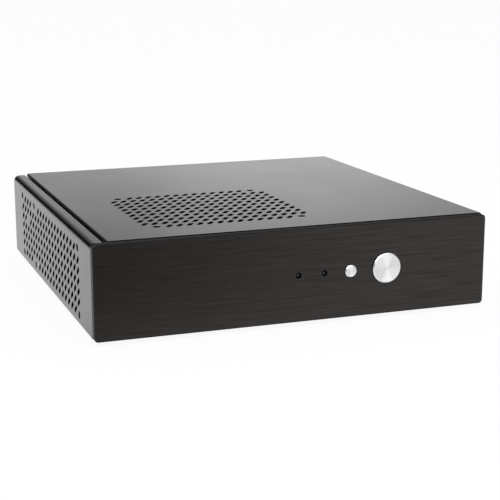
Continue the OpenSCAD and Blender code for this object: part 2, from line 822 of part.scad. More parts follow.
chassis();
top_cover();
vent_screen();
side_screen();
front_panel();
power_button();
power_plunger();
power_switch();
reset_button();
reset_plunger();
reset_switch();
power_led();
drive_led();
front_board();
lead_header();
front_board_posts();
front_board_screws();
panel_screws();
cover_screws();
board_standoffs();
drive_bracket();
bracket_screws();
foot_front_left();
foot_front_right();
foot_rear_left();
foot_rear_right();
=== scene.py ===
# %% [markdown]
# # A thin computer case
# The case is a folded steel tray, an L-shaped cover with slotted vents and a
# thick front plate with two push buttons and two small lights. The frame file
# holds every solid at its real place in metres, so this script only gives each
# solid its finish, adds the small parts that are too fine for the solids, and
# sets the camera, the floor and the lights.

# %% Load the solids
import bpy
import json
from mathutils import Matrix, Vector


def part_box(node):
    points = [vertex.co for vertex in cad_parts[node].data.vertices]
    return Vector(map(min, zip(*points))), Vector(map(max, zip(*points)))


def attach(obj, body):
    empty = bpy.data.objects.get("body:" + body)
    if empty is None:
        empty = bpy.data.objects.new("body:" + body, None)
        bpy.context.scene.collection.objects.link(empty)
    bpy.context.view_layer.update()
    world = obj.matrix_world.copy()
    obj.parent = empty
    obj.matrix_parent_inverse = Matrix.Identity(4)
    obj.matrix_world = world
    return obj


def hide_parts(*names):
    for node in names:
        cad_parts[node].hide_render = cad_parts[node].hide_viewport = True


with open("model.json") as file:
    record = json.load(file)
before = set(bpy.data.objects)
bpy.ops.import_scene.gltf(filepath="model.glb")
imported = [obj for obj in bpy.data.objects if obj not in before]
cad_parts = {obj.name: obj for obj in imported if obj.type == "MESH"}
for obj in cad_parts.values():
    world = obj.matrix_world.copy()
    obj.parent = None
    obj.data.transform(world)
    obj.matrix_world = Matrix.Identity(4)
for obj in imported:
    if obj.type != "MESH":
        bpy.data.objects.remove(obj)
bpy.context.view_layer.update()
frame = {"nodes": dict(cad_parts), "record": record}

import json
import math

import bmesh
import bpy
import numpy as np
from mathutils import Matrix, Vector

MM = 0.001
scene = bpy.context.scene
nodes = frame["nodes"]

# %% [markdown]
# ## The camera
# The photograph was taken a little from the left and a little from above, from
# about 0.8 m. Its place and turn were solved from the corners of the case, so
# they are written here as plain numbers: a point, two angles and a small roll.

# %% The camera
EYE = (-0.248071, -0.713962, 0.192476)
YAW = -0.35065225
PITCH = 0.22738682
ROLL = -0.00080086
LENS_MM = 91.53
SENSOR_MM = 36
NEAREST, FARTHEST = 0.05, 50


def camera_turn(yaw, pitch, roll):
    """Columns right, up and back. Back is the unit vector from the subject to
    the eye, right is level, up is back cross right, and the roll turns right
    and up about back."""
    back = Vector((math.sin(yaw) * math.cos(pitch), -math.cos(yaw) * math.cos(pitch), math.sin(pitch)))
    level = Vector((math.cos(yaw), math.sin(yaw), 0))
    up = back.cross(level)
    right = level * math.cos(roll) + up * math.sin(roll)
    up = up * math.cos(roll) - level * math.sin(roll)
    return Matrix((right, up, back)).transposed()


camera_data = bpy.data.cameras.new("camera")
camera_data.lens = LENS_MM
camera_data.sensor_width = SENSOR_MM
camera_data.clip_start = NEAREST
camera_data.clip_end = FARTHEST
camera = bpy.data.objects.new("camera", camera_data)
camera.matrix_world = Matrix.Translation(EYE) @ camera_turn(YAW, PITCH, ROLL).to_4x4()
scene.collection.objects.link(camera)
scene.camera = camera
scene.view_settings.view_transform = "Standard"
print("camera at", EYE, "lens", LENS_MM)

# %% [markdown]
# ## Helpers for shader nodes
# A finish is a small graph of nodes. These helpers keep each graph short to
# read: one adds a node and sets its sockets, one joins two sockets, and one
# makes a named group with its own inputs and outputs. The last three hold what
# several groups repeat: they read the coordinates, turn a noise into a tone and
# measure the distance from an axis.

# %% Node helpers
NOISE_LOW, NOISE_HIGH = 0.3, 0.7


def add(tree, kind, sockets=None, **settings):
    """Adds a shader node, with settings as its attributes and sockets as the
    values of its inputs by name or number."""
    node = tree.nodes.new(kind)
    for name, value in settings.items():
        setattr(node, name, value)
    for name, value in (sockets or {}).items():
        node.inputs[name].default_value = value
    return node


def join(tree, source, target):
    """Links the socket source to the socket target."""
    tree.links.new(source, target)


def group_tree(name, inputs, outputs):
    """An empty group. Inputs are (name, default) pairs, outputs are names, and
    every socket is a float."""
    tree = bpy.data.node_groups.new(name, "ShaderNodeTree")
    for title, default in inputs:
        socket = tree.interface.new_socket(title, in_out="INPUT", socket_type="NodeSocketFloat")
        socket.default_value = default
    for title in outputs:
        tree.interface.new_socket(title, in_out="OUTPUT", socket_type="NodeSocketFloat")
    return tree, tree.nodes.new("NodeGroupInput"), tree.nodes.new("NodeGroupOutput")


def scaled(tree, source, factor):
    """The Object coordinates times a factor socket."""
    mult = add(tree, "ShaderNodeVectorMath", operation="SCALE")
    join(tree, source, mult.inputs[0])
    join(tree, factor, mult.inputs["Scale"])
    return mult.outputs[0]


def math_node(tree, operation, a, b=None):
    """One Math node. A number is set on its socket, a socket is linked."""
    node = add(tree, "ShaderNodeMath", operation=operation)
    for slot, value in ((0, a), (1, b)):
        if value is None:
            continue
        if isinstance(value, (int, float)):
            node.inputs[slot].default_value = value
        else:
            join(tree, value, node.inputs[slot])
    return node.outputs[0]


def object_axes(tree):
    """The X, Y and Z sockets of the Object coordinates."""
    axes = add(tree, "ShaderNodeSeparateXYZ")
    join(tree, add(tree, "ShaderNodeTexCoord").outputs["Object"], axes.inputs[0])
    return axes.outputs


def tone_of(tree, noise, amount):
    """One plus the amount times the noise, whose usual span from NOISE_LOW to
    NOISE_HIGH is first stretched to minus one to one."""
    swing = add(tree, "ShaderNodeMapRange",
                {"From Min": NOISE_LOW, "From Max": NOISE_HIGH, "To Min": -1, "To Max": 1})
    join(tree, noise.outputs["Fac"], swing.inputs["Value"])
    return math_node(tree, "ADD", math_node(tree, "MULTIPLY", swing.outputs["Result"], amount), 1)


def from_axis(tree, enter):
    """The part along X of the way from the group's centre, and the radius: the
    root of (x - centre x) squared plus (z - centre z) squared."""
    axes = object_axes(tree)
    across = math_node(tree, "SUBTRACT", axes["X"], enter.outputs["Centre X"])
    rise = math_node(tree, "SUBTRACT", axes["Z"], enter.outputs["Centre Z"])
    squares = math_node(tree, "ADD", math_node(tree, "POWER", across, 2), math_node(tree, "POWER", rise, 2))
    return across, math_node(tree, "SQRT", squares)


# %% [markdown]
# ## Effects that several finishes share
# Sprayed paint is never quite flat: it dries with a fine, round waviness that
# painters call orange peel, and its gloss wanders a little from place to place.
# Moulded plastic and rubber have the same two effects at other sizes. So the
# group below gives a height for the fine grain and a slow tone, and each
# material mixes them in with its own amounts.

# %% The grain group
def make_grain():
    """Height is a fine noise with the given number of bumps a metre. Tone is
    one plus the amount times a slow noise that runs from minus one to one."""
    tree, enter, leave = group_tree(
        "fine grain", [("Bumps per metre", 900), ("Tone amount", 0.1), ("Patches per metre", 30)],
        ["Height", "Tone"])
    place = add(tree, "ShaderNodeTexCoord").outputs["Object"]
    fine = add(tree, "ShaderNodeTexNoise", {"Scale": 1, "Detail": 2, "Roughness": 0.5})
    join(tree, scaled(tree, place, enter.outputs["Bumps per metre"]), fine.inputs["Vector"])
    slow = add(tree, "ShaderNodeTexNoise", {"Scale": 1, "Detail": 3, "Roughness": 0.6})
    join(tree, scaled(tree, place, enter.outputs["Patches per metre"]), slow.inputs["Vector"])
    join(tree, fine.outputs["Fac"], leave.inputs["Height"])
    join(tree, tone_of(tree, slow, enter.outputs["Tone amount"]), leave.inputs["Tone"])
    return tree


# %% [markdown]
# The front plate was drawn over an abrasive belt before it was blackened, which
# leaves long, faint lines from side to side. A noise that is stretched along X
# gives such lines, because neighbouring points along X then read nearly the
# same value.

# %% The brush lines group
def make_brush_lines():
    """Two noises of the Object coordinates times the lines a metre, with X first
    divided by Stretch. Height is the fine noise, Tone is one plus the amount
    times the broad one."""
    tree, enter, leave = group_tree(
        "brush lines", [("Lines per metre", 3000), ("Stretch", 60), ("Tone amount", 0.1)],
        ["Height", "Tone"])
    axes = object_axes(tree)
    squeezed = add(tree, "ShaderNodeCombineXYZ")
    join(tree, math_node(tree, "DIVIDE", axes["X"], enter.outputs["Stretch"]), squeezed.inputs["X"])
    join(tree, axes["Y"], squeezed.inputs["Y"])
    join(tree, axes["Z"], squeezed.inputs["Z"])
    fine = add(tree, "ShaderNodeTexNoise", {"Scale": 1, "Detail": 3, "Roughness": 0.6})
    join(tree, scaled(tree, squeezed.outputs[0], enter.outputs["Lines per metre"]), fine.inputs["Vector"])
    broad = add(tree, "ShaderNodeTexNoise", {"Scale": 0.30, "Detail": 4, "Roughness": 0.65})
    join(tree, scaled(tree, squeezed.outputs[0], enter.outputs["Lines per metre"]), broad.inputs["Vector"])
    join(tree, fine.outputs["Fac"], leave.inputs["Height"])
    join(tree, tone_of(tree, broad, enter.outputs["Tone amount"]), leave.inputs["Tone"])
    return tree


# %% [markdown]
# The buttons come off a lathe, whose tool leaves fine rings round the axis. The
# group measures the distance from an axis along Y through a centre, and reads a
# noise of that distance alone.

# %% The turned rings group
def make_turned_rings():
    """The radius is the root of (x - centre x) squared plus (z - centre z)
    squared. Height is a noise of the radius times the rings a metre, and Tone
    is one plus the amount times a slower noise of the radius."""
    tree, enter, leave = group_tree(
        "turned rings", [("Centre X", 0), ("Centre Z", 0), ("Rings per metre", 4000), ("Tone amount", 0.1)],
        ["Height", "Tone"])
    _, radius = from_axis(tree, enter)
    rings = math_node(tree, "MULTIPLY", radius, enter.outputs["Rings per metre"])
    fine = add(tree, "ShaderNodeTexNoise", {"Scale": 1, "Detail": 2}, noise_dimensions="1D")
    join(tree, rings, fine.inputs["W"])
    slow = add(tree, "ShaderNodeTexNoise", {"Scale": 0.15, "Detail": 2}, noise_dimensions="1D")
    join(tree, rings, slow.inputs["W"])
    join(tree, fine.outputs["Fac"], leave.inputs["Height"])
    join(tree, tone_of(tree, slow, enter.outputs["Tone amount"]), leave.inputs["Tone"])
    return tree


# %% [markdown]
# Some finishes change inside a small region, as along the cut edges of a slot.
# A mask for a box needs only distances: a point lies inside where it is nearer
# to the middle than half the box on each of the three axes.

# %% The box mask group
def make_box_mask():
    """Mask is one where |place - middle| is less than half the size on every
    axis, and zero elsewhere."""
    titles = [(part + " " + axis, 0) for part in ("Middle", "Half") for axis in "XYZ"]
    tree, enter, leave = group_tree("box mask", titles, ["Mask"])
    axes = object_axes(tree)
    inside = None
    for axis in "XYZ":
        away = math_node(tree, "SUBTRACT", axes[axis], enter.outputs["Middle " + axis])
        near = math_node(tree, "LESS_THAN", math_node(tree, "ABSOLUTE", away), enter.outputs["Half " + axis])
        inside = near if inside is None else math_node(tree, "MULTIPLY", inside, near)
    join(tree, inside, leave.inputs["Mask"])
    return tree


# %% [markdown]
# A face that was turned on a lathe shows two bright wedges, because its rings throw the light only towards
# and away from the axis. The lamps of a small scene rarely stand where they would have to, so the wedges are
# also painted into the tone as a highlight: a mask of the direction from the axis, bright up and down.

# %% The painted highlight wedges group
def make_painted_highlight_wedges():
    """With x and z measured from the centre and r the root of their squares' sum, the mask falls from one at
    |x| / r = Narrow to zero at |x| / r = Wide. It is also one where r is larger than Rim, for the bevel round
    the face. The mask marks where a highlight is painted into the colour."""
    tree, enter, leave = group_tree(
        "painted highlight wedges", [("Centre X", 0), ("Centre Z", 0), ("Rim", 0.01), ("Narrow", 0.32), ("Wide", 0.55)],
        ["Mask"])
    across, radius = from_axis(tree, enter)
    sideways = math_node(tree, "DIVIDE", math_node(tree, "ABSOLUTE", across), radius)
    wedge = add(tree, "ShaderNodeMapRange", {"To Min": 1, "To Max": 0}, interpolation_type="SMOOTHSTEP")
    join(tree, sideways, wedge.inputs["Value"])
    join(tree, enter.outputs["Narrow"], wedge.inputs["From Min"])
    join(tree, enter.outputs["Wide"], wedge.inputs["From Max"])
    bevel = math_node(tree, "GREATER_THAN", radius, enter.outputs["Rim"])
    join(tree, math_node(tree, "MAXIMUM", wedge.outputs["Result"], bevel), leave.inputs["Mask"])
    return tree


GRAIN = make_grain()
BRUSH_LINES = make_brush_lines()
TURNED_RINGS = make_turned_rings()
BOX_MASK = make_box_mask()
PAINTED_HIGHLIGHT_WEDGES = make_painted_highlight_wedges()
print("shared groups:", [tree.name for tree in (GRAIN, BRUSH_LINES, TURNED_RINGS, BOX_MASK, PAINTED_HIGHLIGHT_WEDGES)])

# %% [markdown]
# ## One recipe for the plain finishes
# Most finishes here are the same idea: a base colour whose tone wanders, a
# roughness that wanders the other way, and a bump from the fine height. The
# recipe takes the group and its values, so each material below is one call that
# says what is special about it.

# %% The finish recipe
def finish(name, color, roughness, group, values, bump_mm=0.0, metallic=0.0, ior=1.5, **shader):
    """A material whose colour is the base colour times Tone, whose roughness is
    the base roughness times (2 - Tone), and whose bump has the given depth."""
    material = bpy.data.materials.new(name)
    material.use_nodes = True
    tree = material.node_tree
    surface = tree.nodes["Principled BSDF"]
    surface.inputs["Metallic"].default_value = metallic
    surface.inputs["IOR"].default_value = ior
    for title, value in shader.items():
        surface.inputs[title.replace("_", " ")].default_value = value
    effect = add(tree, "ShaderNodeGroup", node_tree=group)
    for title, value in values.items():
        effect.inputs[title].default_value = value
    tint = add(tree, "ShaderNodeVectorMath", operation="SCALE")
    tint.inputs[0].default_value = color
    join(tree, effect.outputs["Tone"], tint.inputs["Scale"])
    join(tree, tint.outputs[0], surface.inputs["Base Color"])
    inverse = math_node(tree, "SUBTRACT", 2, effect.outputs["Tone"])
    join(tree, math_node(tree, "MULTIPLY", inverse, roughness), surface.inputs["Roughness"])
    if bump_mm:
        bump = add(tree, "ShaderNodeBump", {"Strength": 1.0, "Distance": bump_mm * MM})
        join(tree, effect.outputs["Height"], bump.inputs["Height"])
        join(tree, bump.outputs[0], surface.inputs["Normal"])
    return material


# %% [markdown]
# ## The finishes
# The tray and the cover are steel sheet under a thin satin black paint. From
# this low angle the paint mirrors the pale room, so the top looks grey: that is
# the gloss at work, and the colour underneath stays nearly black. The front
# plate is anodised aluminium. In the photograph it stays dark where a paint
# would mirror the room, so it is made as a metal with a nearly black base
# colour, which mirrors just that much. The screens have a low refractive index
# for the same reason: behind the slots they have to stay black.

# %% The finishes
finishes = {}
finishes["case_paint"] = finish(
    "satin black paint", (0.0045, 0.0044, 0.0046), 0.20, GRAIN,
    {"Bumps per metre": 1400, "Tone amount": 0.06, "Patches per metre": 18}, bump_mm=0.002)
finishes["panel_black"] = finish(
    "brushed black plate", (0.046, 0.0425, 0.040), 0.36, BRUSH_LINES,
    {"Lines per metre": 2600, "Stretch": 24, "Tone amount": 0.17}, bump_mm=0.010, metallic=1.0)
finishes["screen_mesh"] = finish(
    "moulded screen", (0.004, 0.004, 0.0043), 0.70, GRAIN,
    {"Bumps per metre": 3000, "Tone amount": 0.15, "Patches per metre": 150}, bump_mm=0.010, ior=1.12)
finishes["switch_plastic"] = finish(
    "moulded black plastic", (0.035, 0.035, 0.037), 0.48, GRAIN,
    {"Bumps per metre": 4000, "Tone amount": 0.10, "Patches per metre": 200}, bump_mm=0.010)
finishes["lens"] = finish(
    "smoked lens", (0.020, 0.021, 0.023), 0.12, GRAIN,
    {"Bumps per metre": 600, "Tone amount": 0.15, "Patches per metre": 500}, bump_mm=0.002)
finishes["board"] = finish(
    "green solder mask", (0.020, 0.110, 0.045), 0.35, GRAIN,
    {"Bumps per metre": 2500, "Tone amount": 0.18, "Patches per metre": 350}, bump_mm=0.010)
finishes["zinc_steel"] = finish(
    "zinc plated steel", (0.62, 0.62, 0.60), 0.38, BRUSH_LINES,
    {"Lines per metre": 1800, "Stretch": 12, "Tone amount": 0.10}, bump_mm=0.004, metallic=1.0)
finishes["black_screw"] = finish(
    "black zinc plating", (0.030, 0.030, 0.032), 0.34, GRAIN,
    {"Bumps per metre": 5000, "Tone amount": 0.15, "Patches per metre": 400}, bump_mm=0.006)
finishes["brass"] = finish(
    "turned brass", (0.72, 0.52, 0.25), 0.30, GRAIN,
    {"Bumps per metre": 3500, "Tone amount": 0.10, "Patches per metre": 300}, bump_mm=0.006, metallic=1.0)
finishes["solder"] = finish(
    "tin solder", (0.66, 0.66, 0.68), 0.26, GRAIN,
    {"Bumps per metre": 6000, "Tone amount": 0.12, "Patches per metre": 900}, bump_mm=0.010, metallic=1.0)
finishes["foot_rubber"] = finish(
    "moulded rubber", (0.020, 0.020, 0.020), 0.75, GRAIN,
    {"Bumps per metre": 2500, "Tone amount": 0.15, "Patches per metre": 120}, bump_mm=0.030)
print("finishes:", sorted(finishes))

# %% [markdown]
# In the photograph the slots are black right up to their outlines, where their walls lie in shade, so their
# cut edges are made dull and get a painted shade of black. Paint mirrors four hundredths of the light however
# dark it is. A metal mirrors just its own base colour, so inside the vents of the top and of the two side
# walls, below the outer skin, masks turn the paint into a nearly black metal: painted shade on the slot
# walls.

# %% The painted shade on the cut edges of the vents
# A Mix node lists its sockets for numbers, vectors and colours under the same
# names, so the ones for colours are told apart by their numbers.
MIX_COLOR_A, MIX_COLOR_B, MIX_COLOR_RESULT = 6, 7, 2
# Painted shade: the near-black colour of the slot walls inside the vents.
CUT_SHADE_BLACK = (0.003, 0.003, 0.003, 1)
CUT_ROUGHNESS = 0.7
SKIN = 0.04 * MM
SHEET = 0.8 * MM


def vent_boxes():
    """Middle and half size of a box round each vent, from under the outer skin
    to just under the sheet. The screens behind the vents give the places."""
    top_low, top_high = (np.array(corner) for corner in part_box("vent_screen"))
    side_low, side_high = (np.array(corner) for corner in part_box("side_screen"))
    top_z, side_x = top_high[2] + SHEET, side_low[0] - SHEET
    spans = [
        ((top_low[0], top_low[1], top_z - SHEET - SKIN), (top_high[0], top_high[1], top_z - SKIN)),
        ((side_x + SKIN, side_low[1], side_low[2]), (side_x + SHEET + SKIN, side_high[1], side_high[2])),
        ((-side_x - SHEET - SKIN, side_low[1], side_low[2]), (-side_x - SKIN, side_high[1], side_high[2]))]
    return [((np.array(b) + a) / 2, (np.array(b) - a) / 2) for a, b in spans]


def box_mask(tree, middle, half):
    """The mask socket of a box with its middle and half size in metres."""
    box = add(tree, "ShaderNodeGroup", node_tree=BOX_MASK)
    for axis, centre, reach in zip("XYZ", middle, half):
        box.inputs["Middle " + axis].default_value = centre
        box.inputs["Half " + axis].default_value = reach
    return box.outputs["Mask"]


def change_where(material, mask, color, roughness):
    """Base colour and roughness move to the given ones where the mask is one."""
    tree = material.node_tree
    surface = tree.nodes["Principled BSDF"]
    tint = add(tree, "ShaderNodeMix", data_type="RGBA")
    tint.inputs[MIX_COLOR_B].default_value = color
    join(tree, mask, tint.inputs[0])
    join(tree, surface.inputs["Base Color"].links[0].from_socket, tint.inputs[MIX_COLOR_A])
    join(tree, tint.outputs[MIX_COLOR_RESULT], surface.inputs["Base Color"])
    gloss = add(tree, "ShaderNodeMix", {"B": roughness})
    join(tree, mask, gloss.inputs["Factor"])
    join(tree, surface.inputs["Roughness"].links[0].from_socket, gloss.inputs["A"])
    join(tree, gloss.outputs["Result"], surface.inputs["Roughness"])


def paint_shade_in_vents(material):
    """Paint turns into nearly black metal inside any of the vent boxes, a painted shade on the slot walls."""
    tree = material.node_tree
    mask = None
    for middle, half in vent_boxes():
        box = box_mask(tree, middle, half)
        mask = box if mask is None else math_node(tree, "MAXIMUM", mask, box)
    change_where(material, mask, CUT_SHADE_BLACK, CUT_ROUGHNESS)
    join(tree, mask, tree.nodes["Principled BSDF"].inputs["Metallic"])


paint_shade_in_vents(finishes["case_paint"])
print("vent boxes:", [[round(float(v) / MM, 1) for v in middle] for middle, _ in vent_boxes()])

# %% [markdown]
# The face of the front plate is brushed. In the photograph the plate's top and its left side stay dark beside
# the glossy paint, so its rim is taken as only blasted: such a surface scatters the light of the room behind
# the case. The rim's top and bottom also get a darker colour, a painted shade. The two ends are a little
# paler there, and so a little smoother here, and get a paler colour, a painted sheen.

# %% The rim of the front plate
# Painted shade on the plate's top and bottom rim, and a painted sheen on its two ends.
EDGE_SHADE_BLACK = (0.024, 0.022, 0.021, 1)
EDGE_ROUGHNESS = 0.65
END_SHEEN_GREY = (0.060, 0.058, 0.056, 1)
END_ROUGHNESS = 0.55
RIM_IN = 0.42 * MM


def blast_rim_and_paint_tones(material):
    """Everything outside a box that stays RIM_IN inside all four sides of the plate takes the edges'
    roughness and their darker colour, a painted shade, and then everything outside one that stays RIM_IN
    inside its two ends takes the ends' roughness and their paler colour, a painted sheen."""
    tree = material.node_tree
    low, high = (np.array(corner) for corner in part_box("front_panel"))
    edges = ((RIM_IN, -RIM_IN, RIM_IN), EDGE_SHADE_BLACK, EDGE_ROUGHNESS)
    ends = ((RIM_IN, -RIM_IN, -RIM_IN), END_SHEEN_GREY, END_ROUGHNESS)
    for inset, color, roughness in (edges, ends):
        face = box_mask(tree, (low + high) / 2, (high - low) / 2 - inset)
        change_where(material, math_node(tree, "SUBTRACT", 1, face), color, roughness)


blast_rim_and_paint_tones(finishes["panel_black"])
print("rim:", round(RIM_IN / MM, 2), "mm wide")

# %% [markdown]
# The two buttons are turned from aluminium, and their rings bend the highlight
# into two bright wedges, one up and one down. A radial Tangent node with the
# shader's own anisotropy gives that, and the rings group adds the fine lines.
# The wedges group also paints the highlight into the colour: white in the wedges and on the bevel, and a
# little greyer on the rest of the face. Each button needs its own centre, so each gets its own copy of the
# material.

# %% The turned aluminium
# Painted highlight: the wedges and the bevel take this white base colour, the rest of the face the darker
# grey below.
HIGHLIGHT_WHITE = (0.92, 0.925, 0.93)
FACE_GREY_OFF_HIGHLIGHT = (0.77, 0.78, 0.775, 1)
FACE_ROUGHNESS = 0.30
BEVEL = 0.5 * MM
COLLAR_OUT = 1.35 * MM


def turned_aluminium(node_name):
    """The spun finish, with its rings and its painted highlight centred on the box of the named solid. The
    box's half height is that of the collar, which reaches COLLAR_OUT past the face's edge."""
    low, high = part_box(node_name)
    centre = {"Centre X": (low[0] + high[0]) / 2, "Centre Z": (low[2] + high[2]) / 2}
    material = finish(
        "turned aluminium " + node_name, HIGHLIGHT_WHITE, FACE_ROUGHNESS, TURNED_RINGS,
        {"Rings per metre": 5000, "Tone amount": 0.03, **centre},
        bump_mm=0.003, metallic=1.0, Anisotropic=0.75)
    tree = material.node_tree
    wedges = add(tree, "ShaderNodeGroup", node_tree=PAINTED_HIGHLIGHT_WEDGES)
    rim = (high[2] - low[2]) / 2 - COLLAR_OUT - BEVEL
    for title, value in {**centre, "Rim": rim}.items():
        wedges.inputs[title].default_value = value
    # Outside the painted highlight wedges the face takes the darker grey.
    dark = math_node(tree, "SUBTRACT", 1, wedges.outputs["Mask"])
    change_where(material, dark, FACE_GREY_OFF_HIGHLIGHT, FACE_ROUGHNESS)
    tangent = add(tree, "ShaderNodeTangent", direction_type="RADIAL", axis="Y")
    join(tree, tangent.outputs[0], tree.nodes["Principled BSDF"].inputs["Tangent"])
    return material


# %% [markdown]
# ## Dressing the solids
# The record names the material slot of every solid, so one loop gives each its
# finish. The buttons are the only ones that take a copy of their own.

# %% Dress the solids
def dress(solid, material):
    """Puts one material into every slot of a solid."""
    if not solid.material_slots:
        solid.data.materials.append(material)
    for material_slot in solid.material_slots:
        material_slot.material = material


for part in frame["record"]["subparts"]:
    name, slot_name = part["node"], part["material_slot"]
    if slot_name == "spun_aluminium":
        dress(nodes[name], turned_aluminium(name))
    else:
        dress(nodes[name], finishes[slot_name])

# %% [markdown]
# ## The dust screens
# Behind the slots of the top and of the left wall lies a thin moulded screen
# with thousands of small square holes. The solids are plain sheets, so these
# pieces take their places. One hole could be made and repeated with two Array
# modifiers, but a screen also leaves out a window round each screw hole. Here
# the sheet is a table of cells, some full and some empty: every full cell gets
# two faces, and every border between a full and an empty cell gets a wall. The
# sheet is made lying down, and the one at the side is then stood up by
# exchanging its axes.

# %% The dust screens
HOLE = 1.0 * MM
BAR = 0.5 * MM
RIM = 2.0 * MM
WINDOW = 2.7 * MM
SAME_POINT = 0.001 * MM


def lattice_lines(start, end):
    """Borders of the cells along one axis: a rim, then a hole and a bar in
    turn, then a rim. What doesn't divide evenly widens both rims."""
    count = int((end - start - 2 * RIM + BAR) // (HOLE + BAR))
    rim = (end - start - count * (HOLE + BAR) + BAR) / 2
    steps = np.concatenate(([rim], np.tile([HOLE, BAR], count)[:-1], [rim]))
    return start + np.concatenate(([0.0], np.cumsum(steps)))


def cell_walls(full, axis):
    """Pairs of row and column where full changes along an axis, with the sign
    of the change: plus where the full cell follows the border."""
    padded = np.pad(full.astype(int), 1)
    change = np.diff(padded, axis=axis)
    change = change[:, 1:-1] if axis == 0 else change[1:-1, :]
    rows, columns = np.nonzero(change)
    return rows, columns, change[rows, columns]


def cell_sheet(xs, ys, low, high, full):
    """Vertices and four-cornered faces of the full cells between two heights.
    A vertex's number is its column times the count of rows, plus its row, and
    the upper layer follows the lower one."""
    across, along = len(xs), len(ys)
    grid_x, grid_y = np.meshgrid(xs, ys, indexing="ij")
    layers = [np.column_stack((grid_x.ravel(), grid_y.ravel(), np.full(grid_x.size, z)))
              for z in (low, high)]
    number = np.arange(across * along).reshape(across, along)
    i, j = np.nonzero(full)
    floor_quads = np.column_stack((number[i, j], number[i, j + 1], number[i + 1, j + 1], number[i + 1, j]))
    quads = [floor_quads, floor_quads[:, ::-1] + across * along]
    for axis in (0, 1):
        i, j, sign = cell_walls(full, axis)
        a = number[i, j]
        b = number[i, j + 1] if axis == 0 else number[i + 1, j]
        wall = np.column_stack((a, b, b + across * along, a + across * along))
        outward = (sign < 0) if axis == 0 else (sign > 0)
        quads.append(np.where(outward[:, None], wall, wall[:, ::-1]))
    return np.concatenate(layers), np.concatenate(quads)


def piece_from(name, points, quads, body="case"):
    """A mesh object of only the points that its faces use, riding on a body.
    Points that lie on one another, as at the tip of a cone, become one."""
    used, numbers = np.unique(quads, return_inverse=True)
    mesh = bpy.data.meshes.new(name)
    mesh.from_pydata(points[used].tolist(), [], numbers.reshape(quads.shape).tolist())
    closed = bmesh.new()
    closed.from_mesh(mesh)
    bmesh.ops.remove_doubles(closed, verts=closed.verts, dist=SAME_POINT)
    closed.to_mesh(mesh)
    closed.free()
    mesh.validate()
    piece = bpy.data.objects.new(name, mesh)
    scene.collection.objects.link(piece)
    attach(piece, body)
    return piece


def window_span(lines, middle):
    """First and last cell of a window: those nearer to its middle than WINDOW,
    widened so that both ends are columns of holes. A bar then frames it."""
    cells = np.flatnonzero(np.abs((lines[:-1] + lines[1:]) / 2 - middle) < WINDOW)
    first, last = cells[0], cells[-1]
    return first - (first + 1) % 2, last + (last + 1) % 2


def screen_cells(us, vs, windows):
    """True where a cell of the lattice is full: everywhere but in the holes,
    which have odd numbers on both axes, and in the windows."""
    columns, rows = np.meshgrid(np.arange(len(us) - 1), np.arange(len(vs) - 1), indexing="ij")
    full = ~((columns % 2 == 1) & (rows % 2 == 1))
    for u, v in windows:
        u_first, u_last = window_span(us, u)
        v_first, v_last = window_span(vs, v)
        full[u_first:u_last + 1, v_first:v_last + 1] = False
    return full


def screen_piece(name, node_name, order, windows):
    """The lattice in place of a flat solid. Order names the axes of the solid
    that take the sheet's length, width and thickness, in turns of X, Y, Z."""
    low, high = (np.array(corner)[list(order)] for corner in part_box(node_name))
    us, vs = lattice_lines(low[0], high[0]), lattice_lines(low[1], high[1])
    points, quads = cell_sheet(us, vs, low[2], high[2], screen_cells(us, vs, windows))
    placed = np.empty_like(points)
    placed[:, list(order)] = points
    piece = piece_from(name, placed, quads)
    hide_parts(node_name)
    piece.data.materials.append(finishes["screen_mesh"])
    print(name, len(piece.data.vertices), "points,", len(piece.data.polygons), "faces")


def mount_named(name):
    """The record's mount of that name."""
    return next(mount for mount in frame["record"]["mounts"] if mount["name"] == name)


def hole_middles(mount, u, v):
    """Middles of a mount's holes on axes u and v, half a spacing to each side.
    A spacing that the mount doesn't have is zero."""
    half_u = mount["dims"].get("spacing_x_mm", 0) / 2 * MM
    half_v = mount["dims"]["spacing_y_mm"] / 2 * MM
    place = mount["pos_m"]
    return [(place[u] + a * half_u, place[v] + b * half_v) for a in (-1, 1) for b in (-1, 1)]


fan_windows = hole_middles(mount_named("fan_holes"), 0, 1)
side_windows = hole_middles(mount_named("left_wall_holes"), 1, 2)
side_windows += hole_middles(mount_named("left_wall_front_holes"), 1, 2)
screen_piece("dust_screen", "vent_screen", (0, 1, 2), fan_windows)
screen_piece("side_dust_screen", "side_screen", (1, 2, 0), side_windows)

# %% [markdown]
# ## The solder joints of the switch board
# The pins of the switches and the lights go through the board and are soldered
# on its far side, each with a small cone of tin that hollows towards the pin.
# The lead connector is soldered flat and needs none. A cone could be made with
# a Screw modifier on a profile curve and repeated with instances. Here one cone
# is a profile turned round an axis, and numpy moves its points to every pin at
# once by adding an array of places to an array of points, so the joints end up
# as one light mesh that is easy to export.

# %% The solder joints
TURN_STEPS = 16
CONE = np.array([(0.0, -0.05), (0.95, -0.05), (0.95, 0.02), (0.72, 0.12), (0.52, 0.34), (0.40, 0.68),
                 (0.33, 0.92), (0.26, 1.02), (0.0, 1.06)]) * MM
SWITCH_PIN_X = 3.25 * MM
SWITCH_PIN_Z = 3.60 * MM
LIGHT_PIN_X = 1.27 * MM


def turned_points(profile, steps):
    """Points of a profile of (radius, rise) turned round Y: x is the radius
    times the cosine, z the radius times the sine, y the rise. Angles run first."""
    angle = np.arange(steps) * 2 * math.pi / steps
    radius, rise = profile[:, 0:1], profile[:, 1:2]
    points = np.stack((radius * np.cos(angle), rise + 0 * angle, radius * np.sin(angle)), axis=-1)
    return points.reshape(-1, 3)


def turned_quads(rings, steps):
    """Faces between each ring and the next, seen from outside for a profile
    that rises along +Y."""
    ring, step = np.meshgrid(np.arange(rings - 1), np.arange(steps), indexing="ij")
    a, b = ring * steps + step, ring * steps + (step + 1) % steps
    return np.stack((a, a + steps, b + steps, b), axis=-1).reshape(-1, 4)


